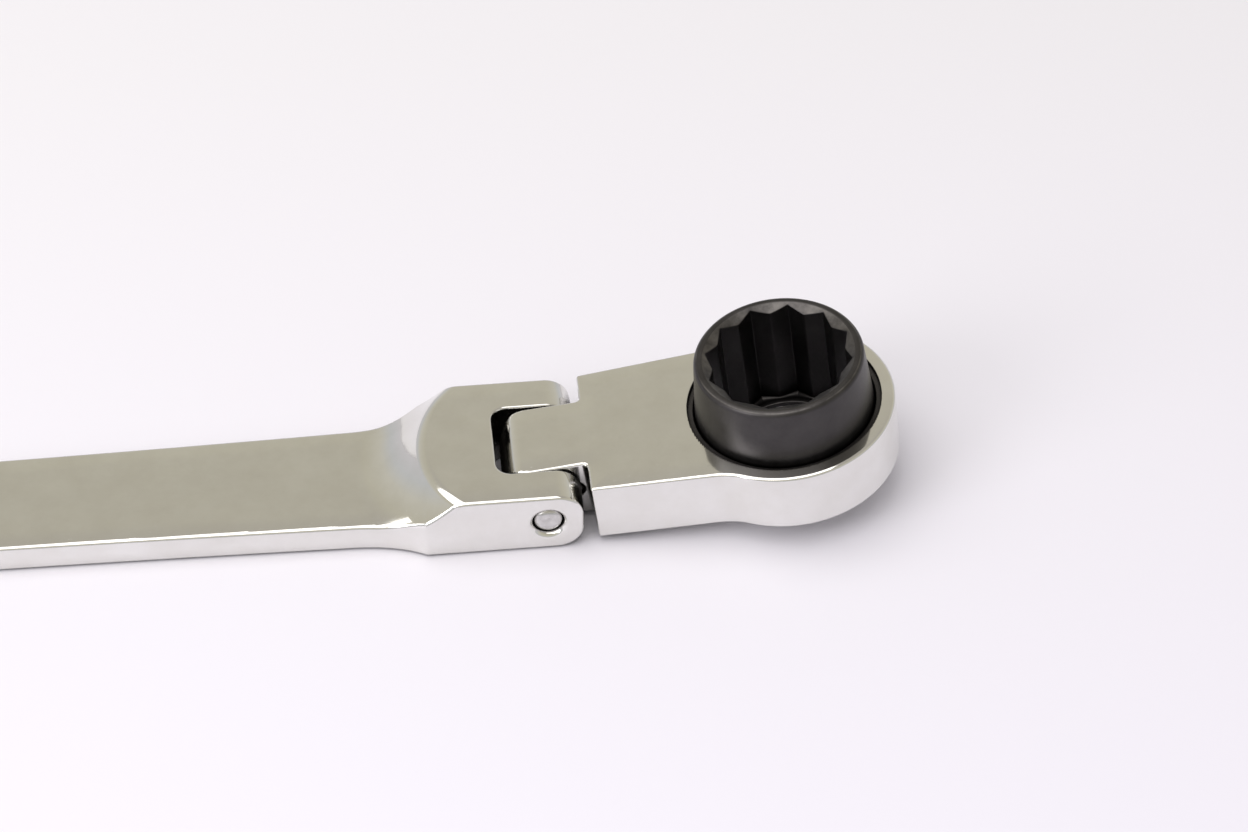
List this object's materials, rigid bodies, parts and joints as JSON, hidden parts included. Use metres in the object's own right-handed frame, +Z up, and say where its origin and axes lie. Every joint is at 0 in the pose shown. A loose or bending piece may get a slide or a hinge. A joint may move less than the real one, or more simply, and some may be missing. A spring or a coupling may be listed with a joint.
{
  "type": "ratchet wrench",
  "caption": "Flex-head ratchet wrench: flat chromed handle with a fork, pinned tilting head, and a raised black twelve-point socket that ratchets either way.",
  "frame": {"origin": "middle of the tool's footprint, on the flat underside of the handle", "axes": "+X along the handle towards the head, +Y along the flex pin, +Z up, the side the drive socket stands out of"},
  "size_m": [0.2578, 0.0368, 0.0283],
  "materials": {
    "chrome": "polished chrome plate",
    "black_oxide": "satin black oxide",
    "steel": "ground steel",
    "satin_steel": "satin nickel plate",
    "spring_steel": "bright drawn wire",
    "bronze": "sintered bronze",
    "rubber": "matte"
  },
  "bodies": {
    "handle": {"handle": "chrome", "flex_pin": "steel"},
    "head": {"head_body": "chrome", "friction_ball_left": "steel", "friction_ball_right": "steel", "friction_spring": "spring_steel", "gear_cover_ring": "black_oxide", "gear_thrust_washer": "bronze", "gear_snap_ring": "black_oxide", "pawl_pin": "steel", "neck_plate": "satin_steel", "plate_screw_left": "black_oxide", "plate_screw_right": "black_oxide"},
    "socket": {"drive_socket": "black_oxide"},
    "pawl": {"pawl": "steel"},
    "lever": {"reversing_lever": "satin_steel", "lever_seal": "rubber", "lever_clip": "spring_steel", "pawl_plunger": "steel", "pawl_spring": "spring_steel"}
  },
  "joints": [
    {"name": "flex_hinge", "type": "hinge", "parent": "handle", "child": "head", "pos_m": [0.06907, 0, 0.0058], "axis": [0, -1, 0], "range_deg": [-97, 83]},
    {"name": "socket_spin", "type": "hinge", "parent": "head", "child": "socket", "pos_m": [0.10997, 0, 0.01082], "axis": [-0.1219, 0, 0.9925], "continuous": true},
    {"name": "lever_turn", "type": "hinge", "parent": "head", "child": "lever", "pos_m": [0.08297, 0, 0.00751], "axis": [-0.1219, 0, 0.9925], "range_deg": [-60, 0]},
    {"name": "pawl_rock", "type": "hinge", "parent": "head", "child": "pawl", "pos_m": [0.09032, 0, 0.00841], "axis": [-0.1219, 0, 0.9925], "range_deg": [0, 9]}
  ],
  "couplings": [
    {"joint": "pawl_rock", "follows": "lever_turn", "ratio": -0.15}
  ]
}
